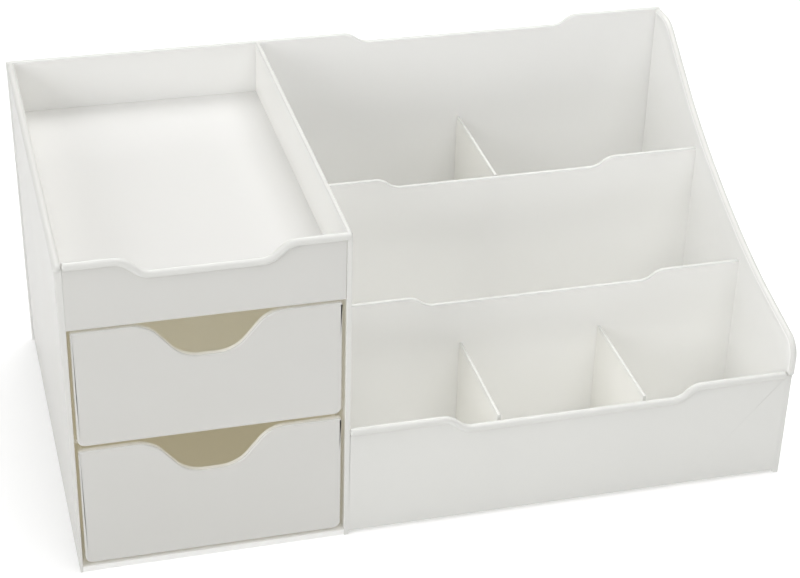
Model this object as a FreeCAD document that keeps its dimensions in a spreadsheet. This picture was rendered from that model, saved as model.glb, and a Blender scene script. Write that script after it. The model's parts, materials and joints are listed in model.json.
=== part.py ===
"""Desk organizer: a drawer tower with an open tray on top, beside three stepped rows of compartments.

The upright panels stand on the desk and everything else hangs between them by tongues in grooves.
Frame: X to the right, Y to the back, Z up, origin under the middle of the whole organizer. Millimetres.
"""
import FreeCAD, Part
import math
import os
import re
import Sketcher

doc = FreeCAD.newDocument("DeskOrganizer")

# ---------------------------------------------------------------- sizes
SIZES = {
    # whole organizer
    "width": (300.0, "outside width"),
    "depth": (178.0, "front of the beads to the back of the rear panel"),
    "height": (141.0, "desk to the top of the rims"),
    "bay_width": (105.2, "clear width of the drawer tower"),
    # sheets and rims
    "left_wall": (3.4, "left panel, thickness at its top with the bead"),
    "left_lean": (1.8, "how far the left panel's outer face runs in towards the desk"),
    "rim_proud": (0.4, "left panel's bead outside its outer face"),
    "partition_wall": (2.0, "wall between the tower and the rows"),
    "end_wall": (2.3, "right end panel"),
    "rear_wall": (2.3, "rear panel"),
    "rear_lean": (1.3, "how far the rear panel's left edge runs in towards the desk"),
    "riser_wall": (2.0, "stepped walls between the rows"),
    "front_wall_thickness": (2.2, "low wall in front of the rows and the tray's front"),
    "divider_wall": (1.4, "dividers"),
    "sheet": (2.2, "tray floor, row floor and bay floor"),
    "shelf_thickness": (1.7, "shelf under the upper drawer"),
    "bead": (3.2, "round bead along the outer rims"),
    "bead_overhang": (1.3, "bead in front of the panels' front edges"),
    "edge_round": (0.8, "rounding of plain top edges"),
    "divider_round": (0.5, "rounding of the dividers' top edges"),
    "tongue": (0.6, "how deep a sheet's end sits in its groove"),
    "fit": (0.1, "clearance between fitted sheets"),
    # stack of the tower
    "bay_floor_lift": (0.5, "bay floor above the desk"),
    "slide_clearance": (0.3, "drawer above the sheet it slides on"),
    "front_gap": (1.3, "gap over each drawer front"),
    "lower_front_height": (53.5, "front of the lower drawer"),
    "tray_depth": (23.6, "rims to the tray floor"),
    "tray_skirt": (3.0, "tray front below the tray floor"),
    "shelf_setback": (6.0, "shelf behind the front edges"),
    # drawers
    "drawer_gap_left": (1.2, "left panel to a drawer front"),
    "drawer_gap_right": (1.5, "drawer front to the partition"),
    "drawer_front": (2.4, "thickness of a drawer front"),
    "drawer_wall": (1.6, "sides, back and floor of a drawer"),
    "drawer_inset": (0.8, "drawer sides inside the ends of its front"),
    "drawer_rim_drop": (3.0, "drawer sides below the top of its front"),
    "drawer_back_gap": (3.0, "drawer back to the rear panel"),
    "drawer_corner": (3.0, "rounding of a drawer front's lower corners"),
    "drawer_inner_round": (3.0, "rounding inside a drawer"),
    "drawer_edge_round": (0.7, "rounding of a drawer front's edges"),
    "notch_half": (23.1, "middle of a drawer front to the notch's top corner"),
    "notch_run": (13.4, "sideways run of a notch's side"),
    "notch_depth": (16.0, "finger notch"),
    "notch_round": (12.6, "rounding of the notch's corners"),
    # rows
    "row_floor_lift": (1.8, "row floor and front wall above the desk"),
    "front_height": (52.0, "front wall"),
    "lower_riser_at": (59.5, "front of the beads to the middle of the lower riser"),
    "lower_riser_height": (72.6, "lower riser"),
    "upper_riser_at": (116.0, "front of the beads to the middle of the upper riser"),
    "upper_riser_height": (98.9, "upper riser"),
    "divider_drop": (4.0, "dividers below the wall in front of them"),
    # scoops in the rims
    "scoop_shoulder": (41.3, "level rim beside a row's scoop"),
    "lower_scoop_shoulder": (36.8, "level rim to the right of the lower riser's scoop"),
    "scoop_run": (5.5, "sideways run of a scoop's side"),
    "scoop_round": (8.0, "rounding of a scoop's corners"),
    "scoop_depth": (4.4, "scoops of the risers and the rear panel"),
    "front_scoop_depth": (5.6, "scoop of the front wall"),
    "tray_shoulder": (21.2, "level rim beside the tray's scoop"),
    "tray_scoop_run": (7.9, "sideways run of the tray scoop's side"),
    "tray_scoop_depth": (6.6, "scoop of the tray front"),
    # sloping edge of the right end panel, along the middle of its bead
    "end_shelf": (15.2, "level edge at the back"),
    "end_shelf_round": (14.0, "where the level edge turns down"),
    "elbow_at": (89.2, "front of the beads to the slope's elbow"),
    "elbow_height": (85.4, "slope's elbow"),
    "elbow_reach": (58.0, "length of slope that the elbow's arc takes up on each side"),
    "elbow_share": (0.8, "largest part of a straight stretch that the elbow's arc may take up"),
    "nose_height": (64.4, "slope at the front"),
    "nose_round": (7.4, "front corner of the slope"),
}

sheet = doc.addObject("Spreadsheet::Sheet", "Sizes")
for row, (alias, (size, meaning)) in enumerate(SIZES.items(), start=1):
    sheet.set(f"A{row}", alias)
    sheet.set(f"B{row}", str(size))
    sheet.set(f"C{row}", meaning)
    sheet.setAlias(f"B{row}", alias)
doc.recompute()


def bound(text):
    """The expression with every size's name pointing at its cell."""
    return re.sub(r"[a-z_]+", lambda word: f"Sizes.{word[0]}" if word[0] in SIZES else word[0], str(text))


def number(text):
    """The expression's value now."""
    return float(sheet.evalExpression(bound(text)))


def bind(thing, **sizes):
    """Bind properties of an object to expressions of the sheet's sizes."""
    for name, text in sizes.items():
        thing.setExpression(name.replace("__", "."), bound(text))


# ---------------------------------------------------------------- places worked out from the sizes
left = "(-width / 2)"
front = "(-depth / 2)"
edge = "(-depth / 2 + bead_overhang)"                 # front edges of the upright panels
inner_back = "(depth / 2 - rear_wall)"                # front face of the rear panel
bead_line = "(-depth / 2 + bead / 2)"                 # middle of the beads along the front
rim_line = "(height - bead / 2)"                      # middle of the beads at full height
bay_left = "(-width / 2 + left_wall)"
bay_right = "(-width / 2 + left_wall + bay_width)"
row_left = "(-width / 2 + left_wall + bay_width + partition_wall)"
end_line = "(width / 2 - bead / 2)"                   # middle of the end panel and its bead
row_right = "(width / 2 - bead / 2 - end_wall / 2)"
row_middle = f"(({row_left} + {row_right}) / 2)"

bay_floor_top = "(bay_floor_lift + sheet)"
lower_bottom = f"({bay_floor_top} + slide_clearance + front_gap)"
lower_top = f"({lower_bottom} + lower_front_height)"
shelf_bottom = f"({lower_top} + slide_clearance)"
shelf_top = f"({shelf_bottom} + shelf_thickness)"
upper_bottom = f"({shelf_top} + slide_clearance)"
tray_floor = "(height - tray_depth)"
tray_bottom = f"({tray_floor} - sheet - tray_skirt)"  # lower edge of the tray's front
upper_top = f"({tray_bottom} - front_gap)"
row_floor_top = "(row_floor_lift + sheet)"
front_face = "(-depth / 2 + bead_overhang + fit)"     # tray front and front wall
wall_back = f"({front_face} + front_wall_thickness)"
overcut = "1"                                         # how far a cut starts outside the sheet


# ---------------------------------------------------------------- building blocks
def new_body(label):
    body = doc.addObject("PartDesign::Body", label)
    body.Label = label
    return body


def plane_of(body, role):
    return next(item for item in body.Origin.OriginFeatures if item.Role == role)


def new_sketch(body, label, role, offset):
    """An empty sketch on one of the body's own planes, moved along the plane's normal."""
    sketch = body.newObject("Sketcher::SketchObject", label)
    sketch.AttachmentSupport = [(plane_of(body, role), "")]
    sketch.MapMode = "FlatFace"
    bind(sketch, AttachmentOffset__Base__z=offset)
    return sketch


def place_point(sketch, geometry, end, across, up):
    """Hold a point of the sketch at two expressions."""
    for kind, text in (("DistanceX", across), ("DistanceY", up)):
        index = sketch.addConstraint(
            Sketcher.Constraint(kind, -1, 1, geometry, end, number(text)))
        sketch.setExpression(f"Constraints[{index}]", bound(text))


def corner_arc(before, corner, after, radius):
    """Arc that rounds a corner, with its two tangent points in travel order."""
    into = (corner - before).normalize()
    out = (after - corner).normalize()
    turn = into.getAngle(out)
    reach = radius * math.tan(turn / 2)
    start = corner - into * reach
    end = corner + out * reach
    nearest = corner + (out - into).normalize() * ((radius ** 2 + reach ** 2) ** 0.5 - radius)
    return start, end, Part.Arc(start, nearest, end)


def draw_outline(sketch, corners, closed=True):
    """Draw straight runs through the corners, rounded by tangent arcs where a corner has a radius.

    Each corner is (across, up) or (across, up, radius), all expressions.
    """
    spots = [FreeCAD.Vector(number(corner[0]), number(corner[1]), 0) for corner in corners]
    count = len(corners)
    runs = count if closed else count - 1
    starts = dict(enumerate(spots))
    ends = dict(enumerate(spots))
    arcs = {}
    for index, corner in enumerate(corners):
        if len(corner) == 3:
            ends[index], starts[index], arcs[index] = corner_arc(
                spots[index - 1], spots[index], spots[(index + 1) % count], number(corner[2]))
    lines = [sketch.addGeometry(Part.LineSegment(starts[index], ends[(index + 1) % count]))
             for index in range(runs)]
    for index, corner in enumerate(corners):
        before, after = index - 1, index
        if len(corner) == 3:
            curve = sketch.addGeometry(arcs[index])
            first = sketch.getPoint(curve, 1).distanceToPoint(ends[index]) < 1e-6
            point = sketch.addGeometry(Part.Point(spots[index]), True)
            place_point(sketch, point, 1, corner[0], corner[1])
            last_line = lines[before]
            sketch.addConstraint(Sketcher.Constraint("PointOnObject", point, 1, last_line))
            sketch.addConstraint(Sketcher.Constraint("PointOnObject", point, 1, lines[after]))
            sketch.addConstraint(Sketcher.Constraint("Tangent", last_line, 2, curve, 1 if first else 2))
            sketch.addConstraint(Sketcher.Constraint("Tangent", curve, 2 if first else 1, lines[after], 1))
            radius = sketch.addConstraint(Sketcher.Constraint("Radius", curve, number(corner[2])))
            sketch.setExpression(f"Constraints[{radius}]", bound(corner[2]))
        elif closed or index < runs:
            place_point(sketch, lines[after], 1, corner[0], corner[1])
            if closed or index > 0:
                sketch.addConstraint(Sketcher.Constraint("Coincident", lines[before], 2, lines[after], 1))
        else:
            place_point(sketch, lines[-1], 2, corner[0], corner[1])


def pad(body, label, role, corners, low, high):
    """Closed outline padded between two positions along its plane's axis."""
    sketch = new_sketch(body, label + "_outline", role, f"-({high})" if role == "XZ_Plane" else low)
    draw_outline(sketch, corners)
    feature = body.newObject("PartDesign::Pad", label)
    feature.Profile = sketch
    bind(feature, Length=f"({high}) - ({low})")
    doc.recompute()
    return feature


def pocket_down(body, label, corners, top, floor):
    """Closed outline in plan, cut from a height down to a floor."""
    sketch = new_sketch(body, label + "_outline", "XY_Plane", top)
    draw_outline(sketch, corners)
    before = body.Shape.Volume
    feature = body.newObject("PartDesign::Pocket", label)
    feature.Profile = sketch
    bind(feature, Length=f"({top}) - ({floor})")
    doc.recompute()
    if body.Shape.Volume > before - 1:
        raise RuntimeError(f"{label} cuts nothing")
    return feature


def block(body, kind, label, low, high):
    """Additive or subtractive box between two corners."""
    feature = body.newObject(f"PartDesign::{kind}Box", label)
    bind(feature, Length=f"({high[0]}) - ({low[0]})", Width=f"({high[1]}) - ({low[1]})",
         Height=f"({high[2]}) - ({low[2]})", Placement__Base__x=low[0], Placement__Base__y=low[1],
         Placement__Base__z=low[2])
    doc.recompute()
    return feature


def groove(body, label, low, high):
    """Groove that a sheet's end sits in; it has to take something away."""
    before = body.Shape.Volume
    feature = block(body, "Subtractive", label, low, high)
    if body.Shape.Volume > before - 0.1:
        raise RuntimeError(f"{label} cuts nothing")
    return feature


def bead_along(body, label, role, offset, corners, end_role, end_offset, end_centre):
    """Round bead swept along an open outline, from a circle at its first corner."""
    path = new_sketch(body, label + "_path", role, offset)
    draw_outline(path, corners, closed=False)
    section = new_sketch(body, label + "_section", end_role, end_offset)
    circle = section.addGeometry(Part.Circle(
        FreeCAD.Vector(number(end_centre[0]), number(end_centre[1]), 0), FreeCAD.Vector(0, 0, 1),
        number("bead / 2")))
    place_point(section, circle, 3, *end_centre)
    radius = section.addConstraint(Sketcher.Constraint("Radius", circle, number("bead / 2")))
    section.setExpression(f"Constraints[{radius}]", bound("bead / 2"))
    doc.recompute()
    feature = body.newObject("PartDesign::AdditivePipe", label)
    feature.Profile = section
    feature.Spine = path
    doc.recompute()
    return feature


def ball(body, label, centre):
    """Round end of a bead."""
    feature = body.newObject("PartDesign::AdditiveSphere", label)
    bind(feature, Radius="bead / 2", Placement__Base__x=centre[0], Placement__Base__y=centre[1],
         Placement__Base__z=centre[2])
    doc.recompute()
    return feature


def fillet(body, label, radius, wanted):
    """Round the edges of the body's last feature that pass a test on their ends' coordinates."""
    base = body.Tip
    names = []
    for index, item in enumerate(base.Shape.Edges, start=1):
        ends = [item.valueAt(item.FirstParameter), item.valueAt(item.LastParameter)]
        if wanted(*ends):
            names.append(f"Edge{index}")
    if not names:
        raise RuntimeError(f"{label} finds no edge")
    feature = body.newObject("PartDesign::Fillet", label)
    feature.Base = (base, names)
    bind(feature, Radius=radius)
    doc.recompute()
    return feature


def near(one, other):
    return abs(one - other) < 1e-4


def level_edge(low_height):
    """Test for the edges along a sheet's scooped top, on both of its faces."""
    limit = number(low_height) - 1e-3

    def test(one, other):
        return near(one.y, other.y) and not near(one.x, other.x) and min(one.z, other.z) > limit
    return test


# ---------------------------------------------------------------- scooped rims
def scoop(low, high, shoulder, right_shoulder, run, top, depth):
    """The four corners of a shallow scoop between two ends, from right to left."""
    radius = "scoop_round"
    return [(f"({high}) - {right_shoulder}", top, radius),
            (f"({high}) - {right_shoulder} - {run}", f"({top}) - {depth}", radius),
            (f"({low}) + {shoulder} + {run}", f"({top}) - {depth}", radius),
            (f"({low}) + {shoulder}", top, radius)]


def row_scoop(top, depth, right_shoulder="scoop_shoulder"):
    return scoop(row_left, row_right, "scoop_shoulder", right_shoulder, "scoop_run", top, depth)


def tray_scoop(top):
    return scoop(bay_left, bay_right, "tray_shoulder", "tray_shoulder", "tray_scoop_run", top,
                 "tray_scoop_depth")


def scooped_sheet(corners, low, high, bottom, top):
    """Closed outline of an upright sheet whose top edge has a scoop."""
    return [(low, bottom), (high, bottom), (high, top)] + corners + [(low, top)]


# ---------------------------------------------------------------- sheets that end in grooves
def bay_sheets():
    """The level sheets of the tower: underside, top and front end of each."""
    return {"bay_floor": ("bay_floor_lift", bay_floor_top, f"({edge} + fit)"),
            "drawer_shelf": (shelf_bottom, shelf_top, f"({edge} + shelf_setback)"),
            "top_tray": (f"({tray_floor} - sheet)", tray_floor, wall_back)}


def row_sheets():
    """The upright sheets across the rows: front face, back face, bottom and top of each."""
    places = {"front_wall": (front_face, wall_back, "row_floor_lift", "(front_height - bead / 2)")}
    for name in ("lower_riser", "upper_riser"):
        middle = f"{front} + {name}_at"
        places[name] = (f"({middle} - riser_wall / 2)", f"({middle} + riser_wall / 2)",
                        f"({row_floor_top} + fit)", f"{name}_height")
    return places


def front_divider_places():
    third = f"(({row_right} - {row_left}) / 3)"
    return {"front_divider_left": f"({row_left} + {third})", "front_divider_right": f"({row_right} - {third})"}


def bay_grooves(body, low, high):
    """Grooves for the tower's level sheets, between two positions across the panel."""
    for name, (bottom, top, start) in bay_sheets().items():
        groove(body, f"{body.Label}_{name}_groove", (low, f"{start} - fit", f"{bottom} - fit"),
               (high, inner_back, f"{top} + fit"))


def row_grooves(body, low, high):
    """Grooves for the rows' upright sheets, between two positions across the panel."""
    for name, (face, back_face, bottom, top) in row_sheets().items():
        groove(body, f"{body.Label}_{name}_groove", (low, f"{face} - fit", f"{bottom} - fit"),
               (high, f"{back_face} + fit", f"{top} + fit"))


def divider_groove(body, name, place, low, high, top):
    """Groove for a divider's end, between two positions from front to back."""
    groove(body, f"{body.Label}_{name}_groove", (f"{place} - divider_wall / 2 - fit", low, row_floor_top),
           (f"{place} + divider_wall / 2 + fit", high, f"{top} - divider_drop + fit"))


# ---------------------------------------------------------------- the upright panels
def left_side_panel():
    body = new_body("left_side_panel")
    outer = f"({left} + rim_proud)"
    section = [(f"{outer} + left_lean", "0"), (bay_left, "0"), (bay_left, rim_line), (outer, rim_line)]
    pad(body, "left_sheet", "XZ_Plane", section, edge, f"{inner_back} - fit")
    centre = (f"{left} + bead / 2", rim_line)
    bead_along(body, "left_rim", "YZ_Plane", centre[0], [(bead_line, rim_line), (f"{inner_back} - fit", rim_line)],
               "XZ_Plane", f"-{bead_line}", centre)
    ball(body, "left_rim_end", (centre[0], bead_line, rim_line))
    bay_grooves(body, f"{bay_left} - tongue - fit", f"{bay_left} + {overcut}")
    return body


def partition_panel():
    body = new_body("partition_panel")
    bead_back = f"({front} + bead + fit)"             # the tray's bead passes over a step in the corner
    bead_under = "(height - bead - 2 * fit)"
    back = f"({inner_back} - fit)"
    outline = [(edge, "0"), (back, "0"), (back, "height"), (bead_back, "height"), (bead_back, bead_under),
               (edge, bead_under)]
    pad(body, "partition_sheet", "YZ_Plane", outline, bay_right, row_left)
    top = number("height")
    fillet(body, "partition_rim", "edge_round",
           lambda one, other: near(one.z, top) and near(other.z, top) and near(one.x, other.x))
    bay_grooves(body, f"{bay_right} - {overcut}", f"{bay_right} + tongue + fit")
    row_grooves(body, f"{row_left} - tongue - fit", f"{row_left} + {overcut}")
    return body


def right_end_panel():
    body = new_body("right_end_panel")
    shelf_start = "(depth / 2 - end_shelf)"
    steep = f"(({rim_line} - elbow_height) / ({shelf_start} - {front} - elbow_at))"
    shallow = "((elbow_height - nose_height) / (elbow_at - bead / 2))"
    run_back = f"sqrt(({rim_line} - elbow_height)^2 + ({shelf_start} - {front} - elbow_at)^2)"
    run_ahead = "sqrt((elbow_height - nose_height)^2 + (elbow_at - bead / 2)^2)"
    reach = f"min(elbow_reach; elbow_share * {run_back}; elbow_share * {run_ahead})"
    elbow_round = f"({reach} / tan((atan({steep}) - atan({shallow})) / 2))"
    slope = [(shelf_start, rim_line, "end_shelf_round"),
             (f"{front} + elbow_at", "elbow_height", elbow_round),
             (bead_line, "nose_height", "nose_round")]
    rear = (f"{inner_back} - fit", rim_line)
    bead_foot = "(front_height - bead / 2)"
    sheet_edge = [(rear[0], "0"), rear] + slope + [(bead_line, bead_foot), (edge, bead_foot), (edge, "0")]
    pad(body, "end_sheet", "YZ_Plane", sheet_edge, row_right, f"{end_line} + end_wall / 2")
    bead_along(body, "end_rim", "YZ_Plane", end_line, [rear] + slope + [(bead_line, bead_foot)],
               "XZ_Plane", f"-({rear[0]})", (end_line, rim_line))
    ball(body, "end_rim_foot", (end_line, bead_line, bead_foot))
    row_grooves(body, f"{row_right} - {overcut}", f"{row_right} + tongue + fit")
    return body


def rear_panel():
    body = new_body("rear_panel")
    end = f"({end_line} + end_wall / 2)"
    outline = [(f"{left} + rear_lean", "0"), (end, "0"), (end, "height")] + row_scoop("height", "scoop_depth")
    pad(body, "rear_sheet", "XZ_Plane", outline + [(left, "height")], inner_back, "depth / 2")
    fillet(body, "rear_rim", "edge_round", level_edge("height - scoop_depth"))
    divider_groove(body, "rear_divider", row_middle, f"{inner_back} - {overcut}",
                   f"{inner_back} + tongue + fit", "upper_riser_height")
    return body


# ---------------------------------------------------------------- the tower's sheets
def bay_sheet(label):
    """Level sheet between the left panel and the partition, its ends in their grooves."""
    bottom, top, start = bay_sheets()[label]
    body = new_body(label)
    block(body, "Additive", label + "_sheet", (f"{bay_left} - tongue", start, bottom),
          (f"{bay_right} + tongue", f"{inner_back} - fit", top))
    return body


def top_tray():
    body = bay_sheet("top_tray")
    low, high = f"(max({bay_left}; {left} + bead) + fit)", f"({bay_right} - fit)"
    pad(body, "tray_front", "XZ_Plane",
        scooped_sheet(tray_scoop(rim_line), low, high, tray_bottom, rim_line), front_face, wall_back)
    path = [(low, rim_line)] + tray_scoop(rim_line)[::-1] + [(row_left, rim_line)]
    bead_along(body, "tray_rim", "XZ_Plane", f"-{bead_line}", path, "YZ_Plane", low, (bead_line, rim_line))
    return body


# ---------------------------------------------------------------- the rows' sheets
def front_wall():
    face, back_face, bottom, rim = row_sheets()["front_wall"]
    body = new_body("front_wall")
    low, high = f"({row_left} - tongue)", f"({row_right} + tongue)"
    pad(body, "front_sheet", "XZ_Plane",
        scooped_sheet(row_scoop(rim, "front_scoop_depth"), low, high, bottom, rim), face, back_face)
    start, end = f"({row_left} + fit)", f"({end_line} - bead / 2 - fit)"
    path = [(start, rim)] + row_scoop(rim, "front_scoop_depth")[::-1] + [(end, rim)]
    bead_along(body, "front_rim", "XZ_Plane", f"-{bead_line}", path, "YZ_Plane", start, (bead_line, rim))
    for name, place in front_divider_places().items():
        divider_groove(body, name, place, f"{wall_back} - tongue - fit", f"{wall_back} + {overcut}",
                       "front_height")
    return body


def riser(label):
    face, back_face, bottom, rim = row_sheets()[label]
    body = new_body(label)
    right_shoulder = "lower_scoop_shoulder" if label == "lower_riser" else "scoop_shoulder"
    pad(body, label + "_sheet", "XZ_Plane",
        scooped_sheet(row_scoop(rim, "scoop_depth", right_shoulder), f"({row_left} - tongue)",
                      f"({row_right} + tongue)", bottom, rim), face, back_face)
    fillet(body, label + "_rim", "edge_round", level_edge(f"{rim} - scoop_depth"))
    if label == "lower_riser":
        for name, place in front_divider_places().items():
            divider_groove(body, name, place, f"{face} - {overcut}", f"{face} + tongue + fit",
                           "front_height")
    else:
        divider_groove(body, "rear_divider", row_middle, f"{back_face} - tongue - fit",
                       f"{back_face} + {overcut}", rim)
    return body


def row_floor():
    body = new_body("row_floor")
    block(body, "Additive", "row_floor_sheet", (f"{row_left} + fit", f"{wall_back} + fit", "row_floor_lift"),
          (f"{row_right} - fit", f"{inner_back} - fit", row_floor_top))
    return body


def divider(label, place, start, end, top):
    """Upright sheet from front to back, its two ends in grooves."""
    body = new_body(label)
    block(body, "Additive", label + "_sheet",
          (f"{place} - divider_wall / 2", f"{start} - tongue", f"{row_floor_top} + fit"),
          (f"{place} + divider_wall / 2", f"{end} + tongue", top))
    level = number(top)
    fillet(body, label + "_rim", "divider_round",
           lambda one, other: near(one.z, level) and near(other.z, level) and near(one.x, other.x))
    return body


# ---------------------------------------------------------------- the drawers
def drawer(label, bottom, top, slide_level):
    """Front with a finger notch, and an open box behind it that slides on the sheet below."""
    body = new_body(label)
    low, high = f"({bay_left} + drawer_gap_left)", f"({bay_right} - drawer_gap_right)"
    middle = f"(({low} + {high}) / 2)"
    face_back = f"({edge} + drawer_front)"
    notch = [(f"{middle} + notch_half", top, "notch_round"),
             (f"{middle} + notch_half - notch_run", f"{top} - notch_depth", "notch_round"),
             (f"{middle} - notch_half + notch_run", f"{top} - notch_depth", "notch_round"),
             (f"{middle} - notch_half", top, "notch_round")]
    outline = [(low, bottom, "drawer_corner"), (high, bottom, "drawer_corner"), (high, top, "edge_round")]
    pad(body, label + "_face", "XZ_Plane", outline + notch + [(low, top, "edge_round")], edge, face_back)
    front_plane = number(edge)
    fillet(body, label + "_face_edge", "drawer_edge_round",
           lambda one, other: near(one.y, front_plane) and near(other.y, front_plane))
    box_low, box_high = f"({low} + drawer_inset)", f"({high} - drawer_inset)"
    box_back = f"({inner_back} - drawer_back_gap)"
    rim = f"({top} - drawer_rim_drop)"
    block(body, "Additive", label + "_box", (box_low, face_back, slide_level), (box_high, box_back, rim))
    inner = [(f"{box_low} + drawer_wall", face_back), (f"{box_high} - drawer_wall", face_back),
             (f"{box_high} - drawer_wall", f"{box_back} - drawer_wall", "drawer_inner_round"),
             (f"{box_low} + drawer_wall", f"{box_back} - drawer_wall", "drawer_inner_round")]
    floor = f"({slide_level} + drawer_wall)"
    pocket_down(body, label + "_hollow", inner, f"{rim} + {overcut}", floor)
    return body


# ---------------------------------------------------------------- the whole organizer
def build_all():
    bodies = [left_side_panel(), partition_panel(), right_end_panel(), rear_panel()]
    bodies += [bay_sheet("bay_floor"), bay_sheet("drawer_shelf"), top_tray()]
    bodies += [row_floor(), front_wall(), riser("lower_riser"), riser("upper_riser")]
    sheets = row_sheets()
    for label, place in front_divider_places().items():
        bodies.append(divider(label, place, wall_back, sheets["lower_riser"][0],
                              "(front_height - divider_drop)"))
    bodies.append(divider("rear_divider", row_middle, sheets["upper_riser"][1], inner_back,
                          "(upper_riser_height - divider_drop)"))
    bodies.append(drawer("upper_drawer", upper_bottom, upper_top, upper_bottom))
    bodies.append(drawer("lower_drawer", lower_bottom, lower_top, f"({bay_floor_top} + slide_clearance)"))
    return bodies


def check(bodies):
    """Stop if any object failed to recompute or any sub-part isn't one sound solid."""
    for item in doc.Objects:
        if "Invalid" in item.State or "Error" in item.State:
            raise RuntimeError(f"{item.Name} did not recompute: {item.State}")
    for body in bodies:
        shape = body.Shape
        if shape.isNull() or not shape.isValid() or len(shape.Solids) != 1:
            raise RuntimeError(f"{body.Label} isn't one valid solid")


def write(bodies):
    os.makedirs("parts", exist_ok=True)
    for body in bodies:
        body.Shape.exportStep(f"parts/{body.Label}.step")
        box = body.Shape.BoundBox
        print(f"{body.Label:22s} {body.Shape.Volume / 1000:8.2f} cm3   x {box.XMin:7.1f} {box.XMax:7.1f}"
              f"   y {box.YMin:6.1f} {box.YMax:6.1f}   z {box.ZMin:6.1f} {box.ZMax:6.1f}")


pieces = build_all()
doc.recompute()
check(pieces)
write(pieces)
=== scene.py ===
import json
import math

import bmesh
import bpy
from mathutils import Matrix, Vector


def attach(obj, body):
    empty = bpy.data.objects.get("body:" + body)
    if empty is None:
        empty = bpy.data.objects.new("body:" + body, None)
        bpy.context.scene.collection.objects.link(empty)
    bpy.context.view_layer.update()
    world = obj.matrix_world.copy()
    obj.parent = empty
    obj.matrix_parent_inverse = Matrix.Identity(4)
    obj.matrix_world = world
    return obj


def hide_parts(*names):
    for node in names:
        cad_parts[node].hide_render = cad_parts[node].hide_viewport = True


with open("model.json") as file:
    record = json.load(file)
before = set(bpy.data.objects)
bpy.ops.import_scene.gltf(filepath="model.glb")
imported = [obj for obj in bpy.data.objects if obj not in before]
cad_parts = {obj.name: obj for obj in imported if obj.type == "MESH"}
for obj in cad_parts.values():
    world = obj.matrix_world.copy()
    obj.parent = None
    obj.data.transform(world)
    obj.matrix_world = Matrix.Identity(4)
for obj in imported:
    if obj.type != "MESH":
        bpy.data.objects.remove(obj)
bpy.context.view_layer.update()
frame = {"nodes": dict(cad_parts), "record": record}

millimetre = 0.001
print("frame loaded:", len(frame["nodes"]), "nodes")


cameraSettings = {
    "aim": (0.0039, 0.0, 0.0590),     # a point in the middle of the view
    "distance": 0.8611,
    "azimuth": -15.68,                # degrees, from the drawers' side
    "elevation": 31.15,
    "roll": 1.66,
    "lens": 89.7,
}


def placeCamera(settings):
    camera = bpy.data.objects.new("camera", bpy.data.cameras.new("camera"))
    bpy.context.collection.objects.link(camera)
    turn = (Matrix.Rotation(math.radians(settings["azimuth"]), 4, "Z")
            @ Matrix.Rotation(math.radians(90 - settings["elevation"]), 4, "X")
            @ Matrix.Rotation(math.radians(settings["roll"]), 4, "Z"))
    back = turn.to_3x3() @ Vector((0, 0, 1))
    place = Vector(settings["aim"]) + back * settings["distance"]
    camera.matrix_world = Matrix.Translation(place) @ turn
    camera.data.lens = settings["lens"]
    camera.data.sensor_width = 36
    bpy.context.scene.camera = camera


placeCamera(cameraSettings)
print("camera placed")


# soft panels above, in front and at both sides, over a white paper floor
lightSettings = {
    "overheadPanel": {"size": (0.9, 0.7), "place": (0.1, 0.0, 0.8), "power": 3.1},
    "rearOverheadPanel": {"size": (0.9, 0.5), "place": (0.1, 0.5, 0.9), "power": 4.2},
    "highFrontPanel": {"size": (1.4, 0.8), "place": (0.1, -1.0, 1.5), "power": 5.2},
    "frontPanel": {"size": (1.6, 1.0), "place": (0.2, -1.7, 0.9), "power": 2.6},
    "leftPanel": {"size": (1.2, 1.0), "place": (-1.5, -0.75, 0.85), "power": 15.5},
    "rightPanel": {"size": (1.2, 1.0), "place": (1.6, -0.2, 0.8), "power": 5.0},
}
studioSettings = {"aim": (0.0, 0.0, 0.06), "world": 0.21, "floorGlow": 0.2, "floorSize": 12.0}


def addPanelLight(name, settings):
    lamp = bpy.data.lights.new(name, "AREA")
    lamp.shape = "RECTANGLE"
    lamp.size, lamp.size_y = settings["size"]
    lamp.energy = settings["power"]
    holder = bpy.data.objects.new(name, lamp)
    bpy.context.collection.objects.link(holder)
    holder.location = settings["place"]
    toAim = Vector(studioSettings["aim"]) - holder.location
    holder.rotation_euler = toAim.to_track_quat("-Z", "Y").to_euler()


def buildStudio(settings):
    for name, panel in lightSettings.items():
        addPanelLight(name, panel)
    world = bpy.data.worlds.new("studioWhite")
    world.use_nodes = True
    sky = world.node_tree.nodes["Background"]
    sky.inputs["Color"].default_value = (1.0, 1.0, 1.0, 1.0)
    sky.inputs["Strength"].default_value = settings["world"]
    bpy.context.scene.world = world
    bpy.context.scene.view_settings.view_transform = "Standard"
    bpy.context.scene.cycles.diffuse_bounces = 8
    bpy.ops.mesh.primitive_plane_add(size=settings["floorSize"], location=(0, 0, 0))
    floor = bpy.context.object
    floor.name = "studioFloor"
    paper = bpy.data.materials.new("floorPaper")
    paper.use_nodes = True
    surface = paper.node_tree.nodes["Principled BSDF"]
    surface.inputs["Base Color"].default_value = (0.9, 0.9, 0.9, 1.0)
    surface.inputs["Roughness"].default_value = 0.8
    surface.inputs["Emission Color"].default_value = (1.0, 1.0, 1.0, 1.0)
    surface.inputs["Emission Strength"].default_value = settings["floorGlow"]
    floor.data.materials.append(paper)


buildStudio(studioSettings)
print("studio built")


# node groups for the moulded plastics: each gives a colour, a mask or a normal
def newGroup(name, inputs, outputs):
    group = bpy.data.node_groups.new(name, "ShaderNodeTree")
    for label, kind, value in inputs:
        socket = group.interface.new_socket(name=label, in_out="INPUT", socket_type=kind)
        if value is not None:
            socket.default_value = value
    for label, kind in outputs:
        group.interface.new_socket(name=label, in_out="OUTPUT", socket_type=kind)
    ends = group.nodes.new("NodeGroupInput"), group.nodes.new("NodeGroupOutput")
    return group, ends[0], ends[1]


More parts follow.
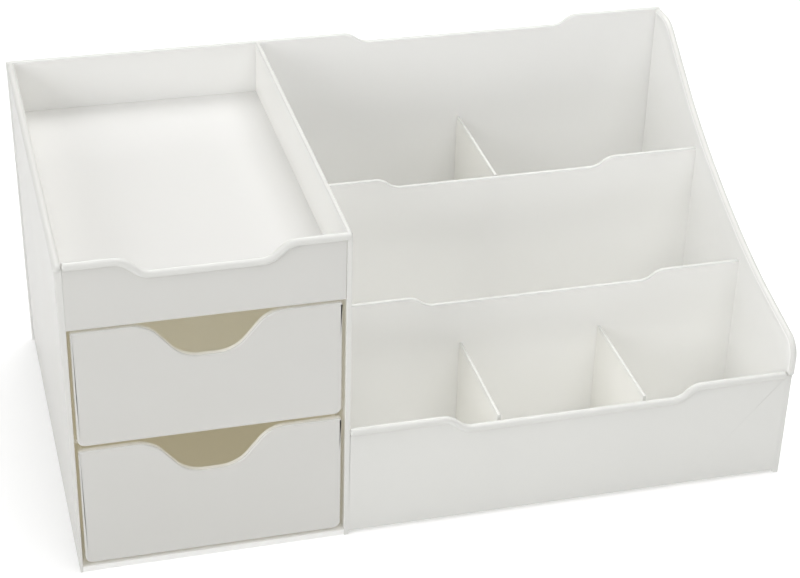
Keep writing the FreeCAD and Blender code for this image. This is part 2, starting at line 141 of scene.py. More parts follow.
def addNode(tree, kind, links=(), **values):
    node = tree.nodes.new(kind)
    for name, value in values.items():
        setattr(node, name, value)
    for socket, source in links:
        if hasattr(source, "is_linked"):
            tree.links.new(source, node.inputs[socket])
        else:
            node.inputs[socket].default_value = source
    return node


def buildMouldSkin():
    # fine eroded skin of the mould and the slow unevenness of a cooled sheet
    group, given, result = newGroup("mouldSkin",
                                    [("Grain per metre", "NodeSocketFloat", 900.0),
                                     ("Grain depth", "NodeSocketFloat", 0.1),
                                     ("Waves per metre", "NodeSocketFloat", 22.0),
                                     ("Wave depth", "NodeSocketFloat", 0.1)],
                                    [("Normal", "NodeSocketVector"), ("Grain", "NodeSocketFloat")])
    where = addNode(group, "ShaderNodeTexCoord").outputs["Object"]
    grain = addNode(group, "ShaderNodeTexNoise",
                    [("Vector", where), ("Scale", given.outputs["Grain per metre"]),
                     ("Detail", 2.0), ("Roughness", 0.6)])
    waves = addNode(group, "ShaderNodeTexNoise",
                    [("Vector", where), ("Scale", given.outputs["Waves per metre"]),
                     ("Detail", 1.0), ("Roughness", 0.4)])
    slow = addNode(group, "ShaderNodeBump",
                   [("Height", waves.outputs["Fac"]), ("Strength", given.outputs["Wave depth"]),
                    ("Distance", 0.002)])
    fine = addNode(group, "ShaderNodeBump",
                   [("Height", grain.outputs["Fac"]), ("Strength", given.outputs["Grain depth"]),
                    ("Distance", 0.0002), ("Normal", slow.outputs["Normal"])])
    group.links.new(fine.outputs["Normal"], result.inputs["Normal"])
    group.links.new(grain.outputs["Fac"], result.inputs["Grain"])
    return group


def buildResinTone():
    # faint flow marks and clouding in the colour of the resin
    group, given, result = newGroup("resinTone",
                                    [("Resin", "NodeSocketColor", (0.93, 0.92, 0.89, 1.0)),
                                     ("Clouded", "NodeSocketColor", (0.9, 0.89, 0.85, 1.0)),
                                     ("Clouds per metre", "NodeSocketFloat", 14.0),
                                     ("Amount", "NodeSocketFloat", 0.5)],
                                    [("Color", "NodeSocketColor")])
    where = addNode(group, "ShaderNodeTexCoord").outputs["Object"]
    drawn = addNode(group, "ShaderNodeMapping", [("Vector", where), ("Scale", (1.0, 1.0, 2.6))])
    clouds = addNode(group, "ShaderNodeTexNoise",
                     [("Vector", drawn.outputs["Vector"]),
                      ("Scale", given.outputs["Clouds per metre"]),
                      ("Detail", 2.0), ("Roughness", 0.55), ("Distortion", 0.6)])
    spread = addNode(group, "ShaderNodeMapRange",
                     [("Value", clouds.outputs["Fac"]), ("From Min", 0.35), ("From Max", 0.7)])
    share = addNode(group, "ShaderNodeMath",
                    [(0, spread.outputs["Result"]), (1, given.outputs["Amount"])],
                    operation="MULTIPLY")
    mixed = addNode(group, "ShaderNodeMix", data_type="RGBA")
    group.links.new(share.outputs["Value"], mixed.inputs[0])
    group.links.new(given.outputs["Resin"], mixed.inputs[6])
    group.links.new(given.outputs["Clouded"], mixed.inputs[7])
    group.links.new(mixed.outputs[2], result.inputs["Color"])
    return group


def buildEdgeHighlightAndPolish():
    # mask of the edges: it makes them glossier where hands and the drawers' runs have polished
    # them, and paints a highlight on them with a paler colour
    group, given, result = newGroup("edgeHighlightAndPolish",
                                    [("Reach", "NodeSocketFloat", 0.0008),
                                     ("Patches per metre", "NodeSocketFloat", 60.0)],
                                    [("Mask", "NodeSocketFloat")])
    where = addNode(group, "ShaderNodeTexCoord").outputs["Object"]
    plain = addNode(group, "ShaderNodeNewGeometry").outputs["Normal"]
    rounded = addNode(group, "ShaderNodeBevel", [("Radius", given.outputs["Reach"])], samples=4)
    along = addNode(group, "ShaderNodeVectorMath",
                    [(0, plain), (1, rounded.outputs["Normal"])], operation="DOT_PRODUCT")
    edge = addNode(group, "ShaderNodeMapRange",
                   [("Value", along.outputs["Value"]), ("From Min", 0.995), ("From Max", 0.86)])
    patches = addNode(group, "ShaderNodeTexNoise",
                      [("Vector", where), ("Scale", given.outputs["Patches per metre"]),
                       ("Detail", 1.0)])
    broken = addNode(group, "ShaderNodeMapRange",
                     [("Value", patches.outputs["Fac"]), ("From Min", 0.3), ("From Max", 0.6),
                      ("To Min", 0.35), ("To Max", 1.0)])
    mask = addNode(group, "ShaderNodeMath",
                   [(0, edge.outputs["Result"]), (1, broken.outputs["Result"])],
                   operation="MULTIPLY")
    group.links.new(mask.outputs["Value"], result.inputs["Mask"])
    return group


def buildHandledFilm():
    # broad soft patches where the sheen is a little duller or brighter
    grainShare, polishShare = 0.05, -0.1     # how much grain and polish change the roughness
    group, given, result = newGroup("handledFilm",
                                    [("Base roughness", "NodeSocketFloat", 0.35),
                                     ("Swing", "NodeSocketFloat", 0.08),
                                     ("Patches per metre", "NodeSocketFloat", 30.0),
                                     ("Polished", "NodeSocketFloat", 0.0),
                                     ("Grain", "NodeSocketFloat", 0.5)],
                                    [("Roughness", "NodeSocketFloat")])
    where = addNode(group, "ShaderNodeTexCoord").outputs["Object"]
    patches = addNode(group, "ShaderNodeTexNoise",
                      [("Vector", where), ("Scale", given.outputs["Patches per metre"]),
                       ("Detail", 2.0)])
    centred = addNode(group, "ShaderNodeMath", [(0, patches.outputs["Fac"]), (1, 0.5)],
                      operation="SUBTRACT")
    swung = addNode(group, "ShaderNodeMath",
                    [(0, centred.outputs["Value"]), (1, given.outputs["Swing"]),
                     (2, given.outputs["Base roughness"])], operation="MULTIPLY_ADD")
    grained = addNode(group, "ShaderNodeMath",
                      [(0, given.outputs["Grain"]), (1, grainShare), (2, swung.outputs["Value"])],
                      operation="MULTIPLY_ADD")
    worn = addNode(group, "ShaderNodeMath",
                   [(0, given.outputs["Polished"]), (1, polishShare),
                    (2, grained.outputs["Value"])],
                   operation="MULTIPLY_ADD", use_clamp=True)
    group.links.new(worn.outputs["Value"], result.inputs["Roughness"])
    return group


def buildPaintedDrawerGlow():
    # painted glow: warm light painted into the drawers, the shelf between them and the wall at
    # their left, standing in for light that comes in through the sheets; it starts at the front of
    # the drawers and is full just behind, both in metres along y
    group, given, result = newGroup("paintedDrawerGlow",
                                    [("Starts at", "NodeSocketFloat", -0.0877),
                                     ("Fully at", "NodeSocketFloat", -0.0868),
                                     ("Glow", "NodeSocketColor", (1.0, 0.89, 0.64, 1.0))],
                                    [("Color", "NodeSocketColor")])
    where = addNode(group, "ShaderNodeTexCoord").outputs["Object"]
    parts = addNode(group, "ShaderNodeSeparateXYZ", [("Vector", where)])
    depth = addNode(group, "ShaderNodeMapRange",
                    [("Value", parts.outputs["Y"]), ("From Min", given.outputs["Starts at"]),
                     ("From Max", given.outputs["Fully at"])])
    mixed = addNode(group, "ShaderNodeMix", data_type="RGBA")
    group.links.new(depth.outputs["Result"], mixed.inputs[0])
    mixed.inputs[6].default_value = (0.0, 0.0, 0.0, 1.0)
    group.links.new(given.outputs["Glow"], mixed.inputs[7])
    group.links.new(mixed.outputs[2], result.inputs["Color"])
    return group


paintedDrawerGlow = buildPaintedDrawerGlow()
mouldSkin = buildMouldSkin()
resinTone = buildResinTone()
edgeHighlightAndPolish = buildEdgeHighlightAndPolish()
handledFilm = buildHandledFilm()


def placeGroup(tree, group, **values):
    node = tree.nodes.new("ShaderNodeGroup")
    node.node_tree = group
    for name, value in values.items():
        node.inputs[name.replace("_", " ")].default_value = value
    return node


plasticSettings = {
    # painted shade: outer skins and rims get a darker copy of the same white plastic than the walls
    # inside
    "shadedOuterPlastic": {
        "resin": (0.695, 0.695, 0.67), "clouded": (0.682, 0.682, 0.655), "roughness": 0.34,
        "swing": 0.06, "grain": 0.12, "waves": 0.015,
        "through": (0.9, 0.89, 0.85), "share": 0.08,
    },
    # walls inside the rows, the partition's two sides and the lower floors
    "shellPlastic": {
        "resin": (0.97, 0.97, 0.962), "clouded": (0.962, 0.962, 0.948), "roughness": 0.36,
        "swing": 0.06, "grain": 0.12, "waves": 0.02,
        "through": (0.97, 0.96, 0.91), "share": 0.2,
    },
    # painted shade: a darker copy of the plastic on the smooth floor of the tray, and the back of
    # its front
    "shadedTrayPlastic": {
        "resin": (0.85, 0.857, 0.872), "clouded": (0.843, 0.848, 0.861), "roughness": 0.22,
        "swing": 0.02, "grain": 0.04, "waves": 0.008,
        "through": (0.96, 0.94, 0.86), "share": 0.36,
    },
    # painted shade: the darkest copy of the same plastic, on the flat outer faces: the drawers' and
    # the tray's fronts, and the left side
    "shadedFacePlastic": {
        "resin": (0.62, 0.617, 0.594), "clouded": (0.61, 0.606, 0.58), "roughness": 0.32,
        "swing": 0.06, "grain": 0.1, "waves": 0.02,
        "through": (0.9, 0.88, 0.8), "share": 0.06,
    },
    # drawer boxes, the shelf between them and the wall at their left, with a painted warm glow that
    # stands in for light coming in through the sheets
    "drawerGlowPlastic": {
        "resin": (0.9, 0.9, 0.88), "clouded": (0.885, 0.885, 0.86), "roughness": 0.33,
        "swing": 0.06, "grain": 0.1, "waves": 0.02,
        "through": (0.96, 0.945, 0.9), "share": 0.3, "paintedGlow": 0.075,
    },
    # the thinnest sheets
    "dividerPlastic": {
        "resin": (0.975, 0.975, 0.965), "clouded": (0.968, 0.968, 0.955), "roughness": 0.34,
        "swing": 0.05, "grain": 0.1, "waves": 0.02,
        "through": (0.98, 0.97, 0.93), "share": 0.4,
    },
}
paintedEdgeHighlight = {"share": 0.5, "paler": 1.06, "palest": 0.97}     # painted highlight: how much paler the resin is made along the edges


def mouldedPlastic(name, settings):
    material = bpy.data.materials.new(name)
    material.use_nodes = True
    tree = material.node_tree
    surface = tree.nodes["Principled BSDF"]
    output = tree.nodes["Material Output"]
    skin = placeGroup(tree, mouldSkin, Grain_depth=settings["grain"], Wave_depth=settings["waves"])
    tone = placeGroup(tree, resinTone, Resin=(*settings["resin"], 1.0),
                      Clouded=(*settings["clouded"], 1.0))
    edges = placeGroup(tree, edgeHighlightAndPolish)
    film = placeGroup(tree, handledFilm, Base_roughness=settings["roughness"],
                      Swing=settings["swing"])
    # painted highlight: the resin is made paler along the edges
    paler = addNode(tree, "ShaderNodeMix", data_type="RGBA")
    worn = addNode(tree, "ShaderNodeMath", [(0, edges.outputs["Mask"]), (1, paintedEdgeHighlight["share"])],
                   operation="MULTIPLY")
    tree.links.new(worn.outputs["Value"], paler.inputs[0])
    tree.links.new(tone.outputs["Color"], paler.inputs[6])
    highlightedResin = [min(paintedEdgeHighlight["palest"], part * paintedEdgeHighlight["paler"]) for part in settings["resin"]]
    paler.inputs[7].default_value = (*highlightedResin, 1.0)
    tree.links.new(paler.outputs[2], surface.inputs["Base Color"])
    tree.links.new(edges.outputs["Mask"], film.inputs["Polished"])
    tree.links.new(skin.outputs["Grain"], film.inputs["Grain"])
    tree.links.new(film.outputs["Roughness"], surface.inputs["Roughness"])
    tree.links.new(skin.outputs["Normal"], surface.inputs["Normal"])
    surface.inputs["IOR"].default_value = 1.49
    # painted glow: a warm emission inside the drawers, standing in for light that comes in through
    # the sheets
    if "paintedGlow" in settings:
        glow = placeGroup(tree, paintedDrawerGlow)
        tree.links.new(glow.outputs["Color"], surface.inputs["Emission Color"])
        surface.inputs["Emission Strength"].default_value = settings["paintedGlow"]
    # part of the light passes through the thin sheet and comes out warmer
    through = addNode(tree, "ShaderNodeBsdfTranslucent",
                      [("Color", (*settings["through"], 1.0)), ("Normal", skin.outputs["Normal"])])
    blend = addNode(tree, "ShaderNodeMixShader", [("Fac", settings["share"])])
    tree.links.new(surface.outputs["BSDF"], blend.inputs[1])
    tree.links.new(through.outputs["BSDF"], blend.inputs[2])
    tree.links.new(blend.outputs["Shader"], output.inputs["Surface"])
    return material


plastics = {name: mouldedPlastic(name, settings) for name, settings in plasticSettings.items()}
print("plastics mixed:", len(plastics))


# hand tools used on every piece; all lengths below are in millimetres
slack = 0.1     # spare room when something is picked by its place


def selectOnly(piece):
    if bpy.context.object and bpy.context.object.mode == "EDIT":
        bpy.ops.object.mode_set(mode="OBJECT")
    bpy.ops.object.select_all(action="DESELECT")
    piece.select_set(True)
    bpy.context.view_layer.objects.active = piece


def addBlock(name, low, high):
    if bpy.context.object and bpy.context.object.mode == "EDIT":
        bpy.ops.object.mode_set(mode="OBJECT")
    bpy.ops.object.select_all(action="DESELECT")
    middle = [(a + b) / 2 * millimetre for a, b in zip(low, high)]
    bpy.ops.mesh.primitive_cube_add(size=1, location=middle)
    piece = bpy.context.object
    piece.name = name
    piece.data.name = name
    piece.scale = [(b - a) * millimetre for a, b in zip(low, high)]
    bpy.ops.object.transform_apply(location=True, rotation=True, scale=True)
    return piece


def pick(piece, kind, test):
    # select the vertices, edges or faces that pass the test on their places and the normals beside
    selectOnly(piece)
    bpy.ops.object.mode_set(mode="EDIT")
    bpy.ops.mesh.select_mode(type=kind)
    bpy.ops.mesh.select_all(action="DESELECT")
    mesh = bmesh.from_edit_mesh(piece.data)
    for item in {"VERT": mesh.verts, "EDGE": mesh.edges, "FACE": mesh.faces}[kind]:
        ends = [item] if kind == "VERT" else list(item.verts)
        places = [end.co / millimetre for end in ends]
        normals = [item.normal] if kind == "FACE" else [face.normal for face in item.link_faces]
        if test(places, normals):
            item.select_set(True)
    bmesh.update_edit_mesh(piece.data)


def same(one, other):
    return abs(one - other) < 0.02


def cutAcross(piece, axis, place):
    selectOnly(piece)
    bpy.ops.object.mode_set(mode="EDIT")
    bpy.ops.mesh.select_all(action="SELECT")
    normal = [0.0, 0.0, 0.0]
    normal[axis] = 1.0
    point = [0.0, 0.0, 0.0]
    point[axis] = place * millimetre
    bpy.ops.mesh.bisect(plane_co=point, plane_no=normal)


def roundPicked(radius, segments=4):
    bpy.ops.mesh.bevel(offset=radius * millimetre, segments=segments, affect="EDGES",
                       clamp_overlap=False)


def moveWhere(piece, test, move):
    pick(piece, "VERT", test)
    bpy.ops.transform.translate(value=[part * millimetre for part in move])


def tangent(radius, run, rise):
    # from a corner to where its arc starts, for a corner that turns off a level line
    return radius * math.tan(math.atan2(abs(rise), abs(run)) / 2)


def scoopTop(piece, low, high, top, scoop):
    # the shallow scoop in a sheet's level top edge, between two places along x
    rightShoulder = scoop.get("rightShoulder", scoop["shoulder"])
    corners = [low + scoop["shoulder"], low + scoop["shoulder"] + scoop["run"],
               high - rightShoulder - scoop["run"], high - rightShoulder]
    for place in corners:
        cutAcross(piece, 0, place)
    moveWhere(piece, lambda at, n: same(at[0].z, top)
              and corners[1] - slack < at[0].x < corners[2] + slack, (0, 0, -scoop["depth"]))
    reach = tangent(scoop["round"], scoop["run"], scoop["depth"])
    pick(piece, "EDGE", lambda at, n: same(at[0].x, at[1].x) and same(at[0].z, at[1].z)
         and at[0].z > top - scoop["depth"] - slack
         and any(same(at[0].x, place) for place in corners))
    roundPicked(reach, 6)


def roundRim(piece, radius, lowest):
    # the long edges along a sheet's top
    thickest = 2.5     # edges that only cross a sheet are no longer than this
    pick(piece, "EDGE", lambda at, n: min(at[0].z, at[1].z) > lowest and len(n) == 2
         and max(n[0].z, n[1].z) > 0.5 and min(abs(n[0].z), abs(n[1].z)) < 0.2
         and not (same(at[0].x, at[1].x) and same(at[0].z, at[1].z)
                  and abs(at[0].y - at[1].y) < thickest))
    roundPicked(radius)


def softenCorners(piece, radius, sharpness=55):
    # a small moulding radius on every edge that is still sharp
    selectOnly(piece)
    bpy.ops.object.mode_set(mode="EDIT")
    bpy.ops.mesh.select_mode(type="EDGE")
    bpy.ops.mesh.select_all(action="DESELECT")
    bpy.ops.mesh.edges_select_sharp(sharpness=math.radians(sharpness))
    bpy.ops.mesh.bevel(offset=radius * millimetre, segments=2, affect="EDGES", clamp_overlap=True)


def beadAlong(piece, name, test, move, radius, stretch=None):
    # copy the picked edges off the sheet, and give them a round section
    pick(piece, "EDGE", test)
    bpy.ops.mesh.duplicate()
    bpy.ops.mesh.separate(type="SELECTED")
    bpy.ops.object.mode_set(mode="OBJECT")
    bead = [one for one in bpy.context.selected_objects if one is not piece][0]
    bead.name = name
    moveWhere(bead, lambda at, n: True, move)
    for stretchTest, stretchMove in stretch or []:
        moveWhere(bead, stretchTest, stretchMove)
    bpy.ops.object.mode_set(mode="OBJECT")
    bpy.ops.object.convert(target="CURVE")
    bead = bpy.context.object
    bead.data.bevel_depth = radius * millimetre
    bead.data.bevel_resolution = 4
    bead.data.use_fill_caps = True
    bpy.ops.object.convert(target="MESH")
    bead = bpy.context.object
    bpy.ops.object.mode_set(mode="EDIT")
    bpy.ops.mesh.select_all(action="SELECT")
    bpy.ops.mesh.remove_doubles(threshold=1e-6)
    bpy.ops.mesh.normals_make_consistent(inside=False)
    pick(bead, "EDGE", lambda at, n: len(n) == 2 and n[0].angle(n[1]) > math.radians(60))
    roundPicked(radius * 0.55, 3)     # soft ends
    bpy.ops.object.mode_set(mode="OBJECT")
    return bead


def alongRim(face, rim, depth):
    # test for the front edge of a scooped rim, as deep as the scoop goes
    return lambda at, n: (all(same(a.y, face) and a.z > rim - depth - slack for a in at)
                          and any(m.z > 0.4 for m in n))


def joinSolids(piece, other):
    # weld a second solid onto the piece
    selectOnly(piece)
    bpy.ops.object.modifier_add(type="BOOLEAN")
    weld = piece.modifiers[-1]
    weld.operation = "UNION"
    weld.solver = "MANIFOLD"
    weld.object = other
    bpy.ops.object.modifier_apply(modifier=weld.name)
    bpy.data.objects.remove(other)


def finishPiece(piece, node, plastic, *others):
    # others holds pairs: a plastic, and the test for the faces that get it
    selectOnly(piece)
    bpy.ops.object.shade_smooth_by_angle(angle=math.radians(32))
    bpy.ops.object.modifier_add(type="WEIGHTED_NORMAL")
    piece.modifiers[-1].keep_sharp = True
    bpy.ops.object.modifier_apply(modifier=piece.modifiers[-1].name)
    piece.data.materials.clear()
    piece.data.materials.append(plastics[plastic])
    for slot, (otherPlastic, test) in enumerate(zip(others[::2], others[1::2]), start=1):
        piece.data.materials.append(plastics[otherPlastic])
        pick(piece, "FACE", test)
        piece.active_material_index = slot
        bpy.ops.object.material_slot_assign()
        bpy.ops.object.mode_set(mode="OBJECT")
    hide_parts(node)
    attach(piece, bodyOf[node])
    print(node, "made,", len(piece.data.polygons), "faces")


bodyOf = {node: body for body, nodes in frame["record"]["behaviour"]["bodies"].items()
          for node in nodes}


# places that several pieces share
shell = {
    "left": -150.0,
    "bayLeft": -146.6,
    "bayRight": -41.4,
    "rowLeft": -39.4,
    "rowRight": 147.25,
    "panelFront": -87.7,     # front edges of the upright panels
    "wallFace": -87.6,       # front of the tray's front and of the front wall
    "beadLine": -87.4,
    "rearFace": 86.7,
    "panelBack": 86.6,       # where the sheets that meet the rear panel end
    "back": 89.0,
    "top": 141.0,
    "bead": 1.6,             # radius of the round beads
    "underBead": 0.13,       # how far a sheet's edge stays below the middle of its bead
    "tuck": 0.3,             # how far a sheet's end sits in its neighbour
}
rowScoop = {"shoulder": 41.3, "run": 5.5, "depth": 4.4, "round": 8.0}


leftPanelSettings = {"outer": -149.6, "lean": 1.8, "beadX": -148.4}


def makeLeftPanel(settings):
    rim = shell["top"] - shell["bead"]
    piece = addBlock("leftPanelMoulded", (settings["outer"], shell["panelFront"], 0),
                     (shell["bayLeft"], shell["panelBack"], rim - shell["underBead"]))
    moveWhere(piece, lambda at, n: same(at[0].z, 0) and same(at[0].x, settings["outer"]),
              (settings["lean"], 0, 0))
    softenCorners(piece, 0.3)
    bpy.ops.object.mode_set(mode="OBJECT")
    # the bead along its top
    front = shell["beadLine"] - shell["bead"]
    length = shell["panelBack"] - front
    middle = (settings["beadX"], front + length / 2, rim)
    bpy.ops.object.select_all(action="DESELECT")
    bpy.ops.mesh.primitive_cylinder_add(
        vertices=28, radius=shell["bead"] * millimetre, depth=length * millimetre,
        rotation=(math.pi / 2, 0, 0), location=[part * millimetre for part in middle])
    bead = bpy.context.object
    bpy.ops.object.transform_apply(location=True, rotation=True, scale=True)
    pick(bead, "EDGE", lambda at, n: same(at[0].y, front) and same(at[1].y, front))
    roundPicked(shell["bead"] * 0.97, 6)     # nearly a ball at its front end
    bpy.ops.object.mode_set(mode="OBJECT")
    joinSolids(piece, bead)
    finishPiece(piece, "left_side_panel", "shadedOuterPlastic",
                "drawerGlowPlastic", lambda at, n: n[0].x > 0.9,
                "shadedFacePlastic", lambda at, n: n[0].x < -0.9)


partitionSettings = {"cornerRound": 2.2, "rimRound": 0.8}


def makePartition(settings):
    piece = addBlock("partitionMoulded", (shell["bayRight"], shell["panelFront"], 0),
                     (shell["rowLeft"], shell["panelBack"], shell["top"]))
    pick(piece, "EDGE", lambda at, n: all(same(a.z, shell["top"]) and same(a.y, shell["panelFront"])
                                          for a in at))
    roundPicked(settings["cornerRound"], 5)
    aboveTray = 100
    pick(piece, "EDGE", lambda at, n: all(a.z > aboveTray for a in at) and len(n) == 2
         and max(n[0].z, n[1].z) > 0.2 and max(abs(n[0].x), abs(n[1].x)) > 0.9)
    roundPicked(settings["rimRound"], 4)
    softenCorners(piece, 0.25, 60)
    finishPiece(piece, "partition_panel", "shadedOuterPlastic",
                "shellPlastic", lambda at, n: abs(n[0].x) > 0.9)


endPanelSettings = {
    "inner": 147.25, "outer": 149.55, "beadX": 148.4, "shelfStart": 73.8, "elbow": (0.2, 85.27),
    "noseHeight": 64.27, "beadFoot": 50.27,
    # from each corner of its outline to where the arc there starts
    "shelfReach": 4.6, "elbowReach": 58.0, "noseReach": 5.83,
}


def makeEndPanel(settings):
    rim = shell["top"] - shell["bead"] - shell["underBead"]
    front = shell["beadLine"]
    elbowY, elbowZ = settings["elbow"]
    piece = addBlock("endPanelMoulded", (settings["inner"], front, 0),
                     (settings["outer"], shell["panelBack"], rim))
    cutAcross(piece, 1, settings["shelfStart"])
    cutAcross(piece, 1, elbowY)
    cutAcross(piece, 2, settings["beadFoot"])
    moveWhere(piece, lambda at, n: same(at[0].y, elbowY) and same(at[0].z, rim),
              (0, 0, elbowZ - rim))
    moveWhere(piece, lambda at, n: same(at[0].y, front) and same(at[0].z, rim),
              (0, 0, settings["noseHeight"] - rim))
    # each corner's place and height, its reach and the segments of its arc
    for place, height, reach, segments in (
            (elbowY, elbowZ, settings["elbowReach"], 24),
            (settings["shelfStart"], rim, settings["shelfReach"], 8),
            (front, settings["noseHeight"], settings["noseReach"], 10)):
        pick(piece, "EDGE", lambda at, n: same(at[0].y, place) and same(at[1].y, place)
             and same(at[0].z, height) and same(at[1].z, height))
        roundPicked(reach, segments)
    bead = beadAlong(piece, "endBead",
                     lambda at, n: all(same(a.x, settings["inner"])
                                       and a.z > settings["beadFoot"] - 0.02 for a in at)
                     and any(abs(m.x) < 0.2 and (m.z > 0.1 or m.y < -0.5) for m in n),
                     (settings["beadX"] - settings["inner"], 0, shell["underBead"]),
                     shell["bead"])
    softenCorners(piece, 0.25, 60)
    bpy.ops.object.mode_set(mode="OBJECT")
    joinSolids(piece, bead)
    finishPiece(piece, "right_end_panel", "shadedOuterPlastic",
                "shellPlastic", lambda at, n: n[0].x < -0.9)


rearPanelSettings = {"end": 149.55, "lean": 1.3, "rimRound": 0.8}


def makeRearPanel(settings):
    piece = addBlock("rearPanelMoulded", (shell["left"], shell["rearFace"], 0),
                     (settings["end"], shell["back"], shell["top"]))
    scoopTop(piece, shell["rowLeft"], shell["rowRight"], shell["top"], rowScoop)
    moveWhere(piece, lambda at, n: same(at[0].z, 0) and same(at[0].x, shell["left"]),
              (settings["lean"], 0, 0))
    roundRim(piece, settings["rimRound"], shell["top"] - rowScoop["depth"] - 0.5)
    softenCorners(piece, 0.25, 60)
    finishPiece(piece, "rear_panel", "shadedOuterPlastic",
                "shellPlastic", lambda at, n: n[0].y < -0.9)


traySettings = {
    "floorTop": 117.4, "sheet": 2.2, "skirt": 112.2, "wall": 2.2, "low": -146.7,
    "beadPast": 2.0,     # how far the bead runs on over the partition's front
    "scoop": {"shoulder": 21.2, "run": 7.9, "depth": 6.6, "round": 8.0},
}


def makeTopTray(settings):
    rim = shell["top"] - shell["bead"] - shell["underBead"]
    face, low = shell["wallFace"], settings["low"]
    piece = addBlock("topTrayMoulded", (low, face, settings["skirt"]),
                     (shell["bayRight"] - 0.1, face + settings["wall"], rim))
    scoopTop(piece, shell["bayLeft"], shell["bayRight"], rim, settings["scoop"])
    bead = beadAlong(piece, "trayBead", alongRim(face, rim, settings["scoop"]["depth"]),
                     (0, shell["beadLine"] - face, shell["underBead"]), shell["bead"],
                     [(lambda at, n: at[0].x > shell["bayRight"] - 1,
                       (settings["beadPast"], 0, 0))])
    softenCorners(piece, 0.25, 60)
    bpy.ops.object.mode_set(mode="OBJECT")
    joinSolids(piece, bead)
    floor = addBlock("trayFloor",
                     (shell["bayLeft"] - shell["tuck"], face + settings["wall"] - 0.4,
                      settings["floorTop"] - settings["sheet"]),
                     (shell["bayRight"] + shell["tuck"], shell["panelBack"],
                      settings["floorTop"]))
    softenCorners(floor, 0.2, 60)
    bpy.ops.object.mode_set(mode="OBJECT")
    joinSolids(piece, floor)
    behindWall = face + settings["wall"] - 0.5
    finishPiece(piece, "top_tray", "shadedOuterPlastic",
                "shadedTrayPlastic", lambda at, n: min(a.y for a in at) > behindWall or n[0].y > 0.9,
                "shadedFacePlastic", lambda at, n: n[0].y < -0.9 and same(at[0].y, face))


frontWallSettings = {
    "wall": 2.2, "bottom": 1.8, "top": 50.4, "beadEnd": 146.7,
    "scoop": {"shoulder": 41.3, "run": 5.5, "depth": 5.6, "round": 8.0},
}


def makeFrontWall(settings):
    face, rim = shell["wallFace"], settings["top"] - shell["underBead"]
    low, high = shell["rowLeft"] - shell["tuck"], shell["rowRight"] + shell["tuck"]
    piece = addBlock("frontWallMoulded", (low, face, settings["bottom"]),
                     (high, face + settings["wall"], rim))
    scoopTop(piece, shell["rowLeft"], shell["rowRight"], rim, settings["scoop"])
    bead = beadAlong(piece, "frontBead", alongRim(face, rim, settings["scoop"]["depth"]),
                     (0, shell["beadLine"] - face, shell["underBead"]), shell["bead"],
                     [(lambda at, n: at[0].x < low + 1, (shell["tuck"] + 0.1, 0, 0)),
                      (lambda at, n: at[0].x > high - 1, (settings["beadEnd"] - high, 0, 0))])
    softenCorners(piece, 0.25, 60)
    bpy.ops.object.mode_set(mode="OBJECT")
    joinSolids(piece, bead)
    finishPiece(piece, "front_wall", "shadedOuterPlastic",
                "shellPlastic", lambda at, n: n[0].y > 0.9)


riserSettings = {
    "lower_riser": {"front": -30.5, "back": -28.5, "bottom": 4.1, "top": 72.6, "rimRound": 0.8,
                    "scoop": {**rowScoop, "rightShoulder": 36.8}},
    "upper_riser": {"front": 26.0, "back": 28.0, "bottom": 4.1, "top": 98.9, "rimRound": 0.8,
                    "scoop": rowScoop},
}


def makeRiser(node, settings):
    piece = addBlock(node + "_moulded",
                     (shell["rowLeft"] - shell["tuck"], settings["front"], settings["bottom"]),
                     (shell["rowRight"] + shell["tuck"], settings["back"], settings["top"]))
    scoopTop(piece, shell["rowLeft"], shell["rowRight"], settings["top"], settings["scoop"])
    roundRim(piece, settings["rimRound"], settings["top"] - settings["scoop"]["depth"] - 0.5)
    softenCorners(piece, 0.25, 60)
    finishPiece(piece, node, "shadedOuterPlastic",
                "shellPlastic", lambda at, n: abs(n[0].y) > 0.9)


dividerSettings = {
    "front_divider_left": {"middle": 22.82, "front": -85.7, "back": -30.2, "top": 48.0},
    "front_divider_right": {"middle": 85.03, "front": -85.7, "back": -30.2, "top": 48.0},
    "rear_divider": {"middle": 53.92, "front": 27.7, "back": 87.0, "top": 94.9},
    "half": 0.7,     # half the thickness of their sheets
    "bottom": 4.1, "rimRound": 0.5,
}


def makeDivider(node, settings):
    own = settings[node]
    piece = addBlock(node + "_moulded",
                     (own["middle"] - settings["half"], own["front"], settings["bottom"]),
                     (own["middle"] + settings["half"], own["back"], own["top"]))
    pick(piece, "EDGE", lambda at, n: all(same(a.z, own["top"]) for a in at)
         and same(at[0].x, at[1].x))
    roundPicked(settings["rimRound"], 4)
    softenCorners(piece, 0.15, 60)
    finishPiece(piece, node, "shadedOuterPlastic",
                "dividerPlastic", lambda at, n: abs(n[0].x) > 0.9)


drawerSettings = {
    "upper_drawer": {"bottom": 60.1, "top": 110.9, "runsOn": 60.1},
    "lower_drawer": {"bottom": 4.3, "top": 57.8, "runsOn": 3.0},
    "low": -145.4, "high": -42.9, "plate": 2.4, "back": 83.7,
    "notchHalf": 23.1, "notchRun": 13.4, "notchDepth": 16.0, "notchRound": 12.6,
    "lowerCorner": 3.0, "upperCorner": 0.8, "frontEdge": 0.7,
    # the box behind the plate
    "wall": 1.6, "inset": 0.8, "rimDrop": 3.0, "boxRound": 2.6, "rimRound": 0.4,
}


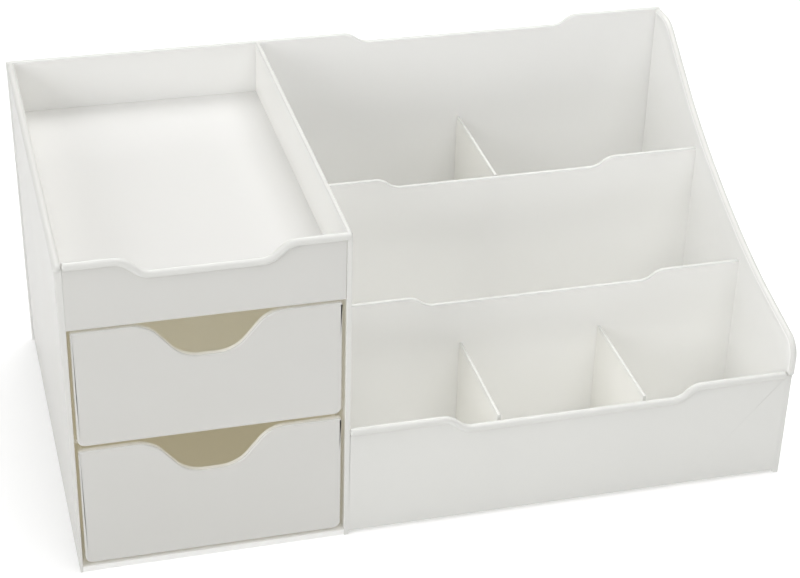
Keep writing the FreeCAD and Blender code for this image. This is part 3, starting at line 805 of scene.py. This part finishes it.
def makeDrawer(node, settings):
    own = settings[node]
    low, high, top = settings["low"], settings["high"], own["top"]
    front = shell["panelFront"]
    middle = (low + high) / 2
    plateBack = front + settings["plate"]
    # front plate with its finger notch
    plate = addBlock(node + "_moulded", (low, front, own["bottom"]), (high, plateBack, top))
    outerCut, innerCut = settings["notchHalf"], settings["notchHalf"] - settings["notchRun"]
    places = [middle - outerCut, middle - innerCut, middle + innerCut, middle + outerCut]
    for place in places:
        cutAcross(plate, 0, place)
    moveWhere(plate, lambda at, n: same(at[0].z, top)
              and places[0] + slack < at[0].x < places[3] - slack, (0, 0, -settings["notchDepth"]))
    reach = tangent(settings["notchRound"], settings["notchRun"], settings["notchDepth"])
    pick(plate, "EDGE", lambda at, n: same(at[0].x, at[1].x) and same(at[0].z, at[1].z)
         and at[0].z > top - settings["notchDepth"] - slack
         and any(same(at[0].x, place) for place in places))
    roundPicked(reach, 8)
    for height, radius in ((own["bottom"], settings["lowerCorner"]),
                           (top, settings["upperCorner"])):
        pick(plate, "EDGE", lambda at, n: same(at[0].x, at[1].x) and same(at[0].z, height)
             and same(at[1].z, height) and (same(at[0].x, low) or same(at[0].x, high)))
        roundPicked(radius, 5)
    pick(plate, "EDGE", lambda at, n: all(same(a.y, front) for a in at)
         and any(abs(m.y) < 0.3 for m in n))
    roundPicked(settings["frontEdge"], 4)
    softenCorners(plate, 0.25, 60)
    bpy.ops.object.mode_set(mode="OBJECT")
    # open box behind it
    rim = top - settings["rimDrop"]
    boxFront = plateBack - 0.5     # the box starts inside the plate
    box = addBlock(node + "_box", (low + settings["inset"], boxFront, own["runsOn"]),
                   (high - settings["inset"], settings["back"], rim))
    pick(box, "FACE", lambda at, n: n[0].z > 0.9 or n[0].y < -0.9)
    bpy.ops.mesh.delete(type="FACE")
    pick(box, "EDGE", lambda at, n: len(n) == 2)
    roundPicked(settings["boxRound"], 5)
    bpy.ops.object.mode_set(mode="OBJECT")
    bpy.ops.object.modifier_add(type="SOLIDIFY")
    box.modifiers[-1].thickness = settings["wall"] * millimetre
    box.modifiers[-1].offset = -1
    box.modifiers[-1].use_even_offset = True
    bpy.ops.object.modifier_apply(modifier=box.modifiers[-1].name)
    pick(box, "EDGE", lambda at, n: all(same(a.z, rim) for a in at) and len(n) == 2
         and min(abs(n[0].z), abs(n[1].z)) < 0.2)
    roundPicked(settings["rimRound"], 3)
    bpy.ops.object.mode_set(mode="OBJECT")
    joinSolids(plate, box)
    finishPiece(plate, node, "shadedFacePlastic",
                "drawerGlowPlastic", lambda at, n: (max(a.y for a in at) > boxFront
                                                and not n[0].y < -0.5))


makeLeftPanel(leftPanelSettings)
makePartition(partitionSettings)
makeEndPanel(endPanelSettings)
makeRearPanel(rearPanelSettings)
makeTopTray(traySettings)
makeFrontWall(frontWallSettings)
for node, settings in riserSettings.items():
    makeRiser(node, settings)
for node in ("front_divider_left", "front_divider_right", "rear_divider"):
    makeDivider(node, dividerSettings)
for node in ("upper_drawer", "lower_drawer"):
    makeDrawer(node, drawerSettings)
# the plain inner sheets keep their own shape
for node, plastic in {"bay_floor": "shellPlastic", "drawer_shelf": "drawerGlowPlastic",
                      "row_floor": "shellPlastic"}.items():
    sheet = frame["nodes"][node]
    sheet.data.materials.clear()
    sheet.data.materials.append(plastics[plastic])
print("pieces made")
